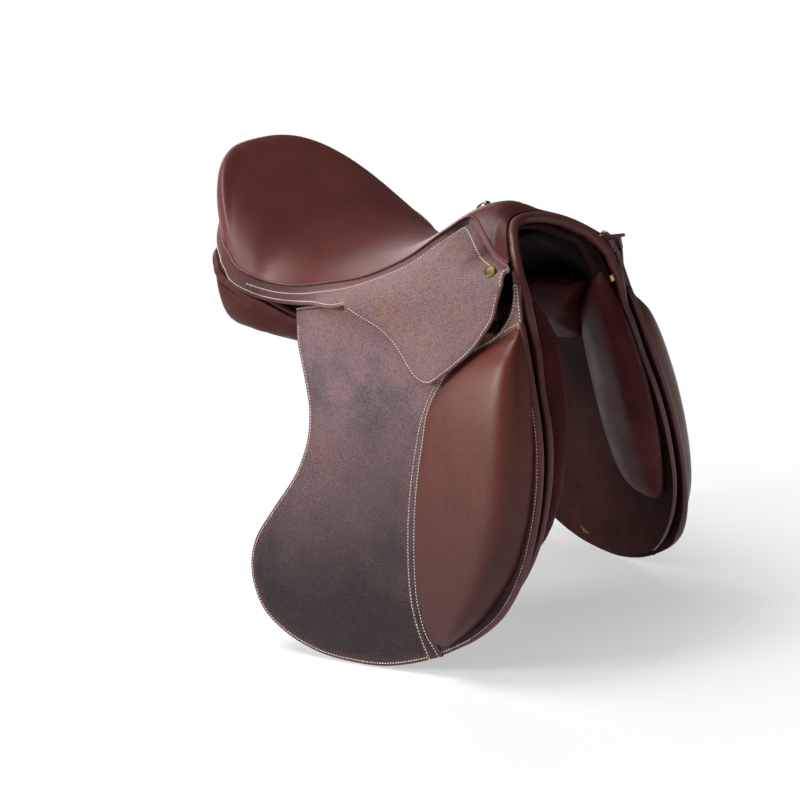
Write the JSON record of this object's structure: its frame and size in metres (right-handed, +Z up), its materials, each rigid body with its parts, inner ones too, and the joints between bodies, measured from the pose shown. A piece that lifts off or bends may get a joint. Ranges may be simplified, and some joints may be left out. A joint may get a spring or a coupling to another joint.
{
  "type": "jumping saddle",
  "caption": "Brown leather close-contact jumping saddle with a deep seat, forward-cut flaps with knee blocks, lifting small flaps, girth straps and stirrup bars.",
  "frame": {"origin": "on the centre line, at the height where the panels bear on the horse's back, below the lowest part of the seat", "axes": "+X forward to the pommel, +Y to the rider's left, +Z up"},
  "size_m": [0.5196, 0.4174, 0.5044],
  "materials": {
    "smooth_leather": "smooth semi-gloss calf, chocolate brown",
    "grained_leather": "pebbled, clouded brown",
    "brass": "tarnished",
    "steel": "plain",
    "beech": "laminated",
    "webbing": "woven tape",
    "foam": "soft foam"
  },
  "bodies": {
    "saddle": {"tree_head": "beech", "tree_cantle": "beech", "tree_rail_left": "beech", "tree_rail_right": "beech", "tree_point_left": "beech", "tree_point_right": "beech", "tree_spring_left": "steel", "tree_spring_right": "steel", "gullet_plate": "steel", "gullet_lining": "smooth_leather", "seat_webs": "webbing", "seat_foam": "foam", "seat_cover": "smooth_leather", "seat_welt": "smooth_leather", "arch_roll": "smooth_leather", "skirt_left": "grained_leather", "skirt_right": "grained_leather", "saddle_studs": "brass", "pommel_plate": "brass", "stirrup_bar_left": "brass", "stirrup_bar_right": "brass", "bar_rivets": "steel", "flap_head_left": "grained_leather", "flap_head_right": "grained_leather", "sweat_flap_left": "grained_leather", "sweat_flap_right": "grained_leather", "point_pocket_left": "grained_leather", "point_pocket_right": "grained_leather", "front_roll_left": "smooth_leather", "front_roll_right": "smooth_leather", "panel_left": "smooth_leather", "panel_right": "smooth_leather", "girth_web_left": "webbing", "girth_web_right": "webbing"},
    "flap_left": {"flap_left": "grained_leather", "knee_block_left": "smooth_leather"},
    "skirt_flap_left": {"skirt_flap_left": "grained_leather"},
    "safety_catch_left": {"safety_catch_left": "brass"},
    "girth_straps_left": {"girth_strap_front_left": "grained_leather", "girth_strap_middle_left": "grained_leather", "girth_strap_rear_left": "grained_leather"},
    "buckle_guard_left": {"buckle_guard_left": "grained_leather"},
    "flap_right": {"flap_right": "grained_leather", "knee_block_right": "smooth_leather"},
    "skirt_flap_right": {"skirt_flap_right": "grained_leather"},
    "safety_catch_right": {"safety_catch_right": "brass"},
    "girth_straps_right": {"girth_strap_front_right": "grained_leather", "girth_strap_middle_right": "grained_leather", "girth_strap_rear_right": "grained_leather"},
    "buckle_guard_right": {"buckle_guard_right": "grained_leather"}
  },
  "joints": [
    {"name": "flap_lift_left", "type": "hinge", "parent": "saddle", "child": "flap_left", "pos_m": [0.02819, 0.13792, 0.04763], "axis": [0.9609, -0.2505, 0.118], "range_deg": [0, 60]},
    {"name": "skirt_lift_left", "type": "hinge", "parent": "flap_left", "child": "skirt_flap_left", "pos_m": [0.02819, 0.13792, 0.04763], "axis": [0.9609, -0.2505, 0.118], "range_deg": [0, 75]},
    {"name": "catch_turn_left", "type": "hinge", "parent": "saddle", "child": "safety_catch_left", "pos_m": [0.13387, 0.10684, 0.0414], "axis": [0.2259, 0.9556, 0.1891], "range_deg": [0, 90]},
    {"name": "strap_swing_left", "type": "hinge", "parent": "saddle", "child": "girth_straps_left", "pos_m": [0.06382, 0.10608, 0.04324], "axis": [-0.2259, -0.9556, -0.1891], "range_deg": [-4, 4]},
    {"name": "guard_slide_left", "type": "slide", "parent": "girth_straps_left", "child": "buckle_guard_left", "axis": [-0.0435, -0.184, 0.982], "range_m": [-0.15, 0.035]},
    {"name": "flap_lift_right", "type": "hinge", "parent": "saddle", "child": "flap_right", "pos_m": [0.02819, -0.13792, 0.04763], "axis": [-0.9609, -0.2505, -0.118], "range_deg": [0, 60]},
    {"name": "skirt_lift_right", "type": "hinge", "parent": "flap_right", "child": "skirt_flap_right", "pos_m": [0.02819, -0.13792, 0.04763], "axis": [-0.9609, -0.2505, -0.118], "range_deg": [0, 75]},
    {"name": "catch_turn_right", "type": "hinge", "parent": "saddle", "child": "safety_catch_right", "pos_m": [0.13387, -0.10684, 0.0414], "axis": [-0.2259, 0.9556, -0.1891], "range_deg": [0, 90]},
    {"name": "strap_swing_right", "type": "hinge", "parent": "saddle", "child": "girth_straps_right", "pos_m": [0.06382, -0.10608, 0.04324], "axis": [0.2259, -0.9556, 0.1891], "range_deg": [-4, 4]},
    {"name": "guard_slide_right", "type": "slide", "parent": "girth_straps_right", "child": "buckle_guard_right", "axis": [-0.0435, 0.184, 0.982], "range_m": [-0.15, 0.035]}
  ]
}
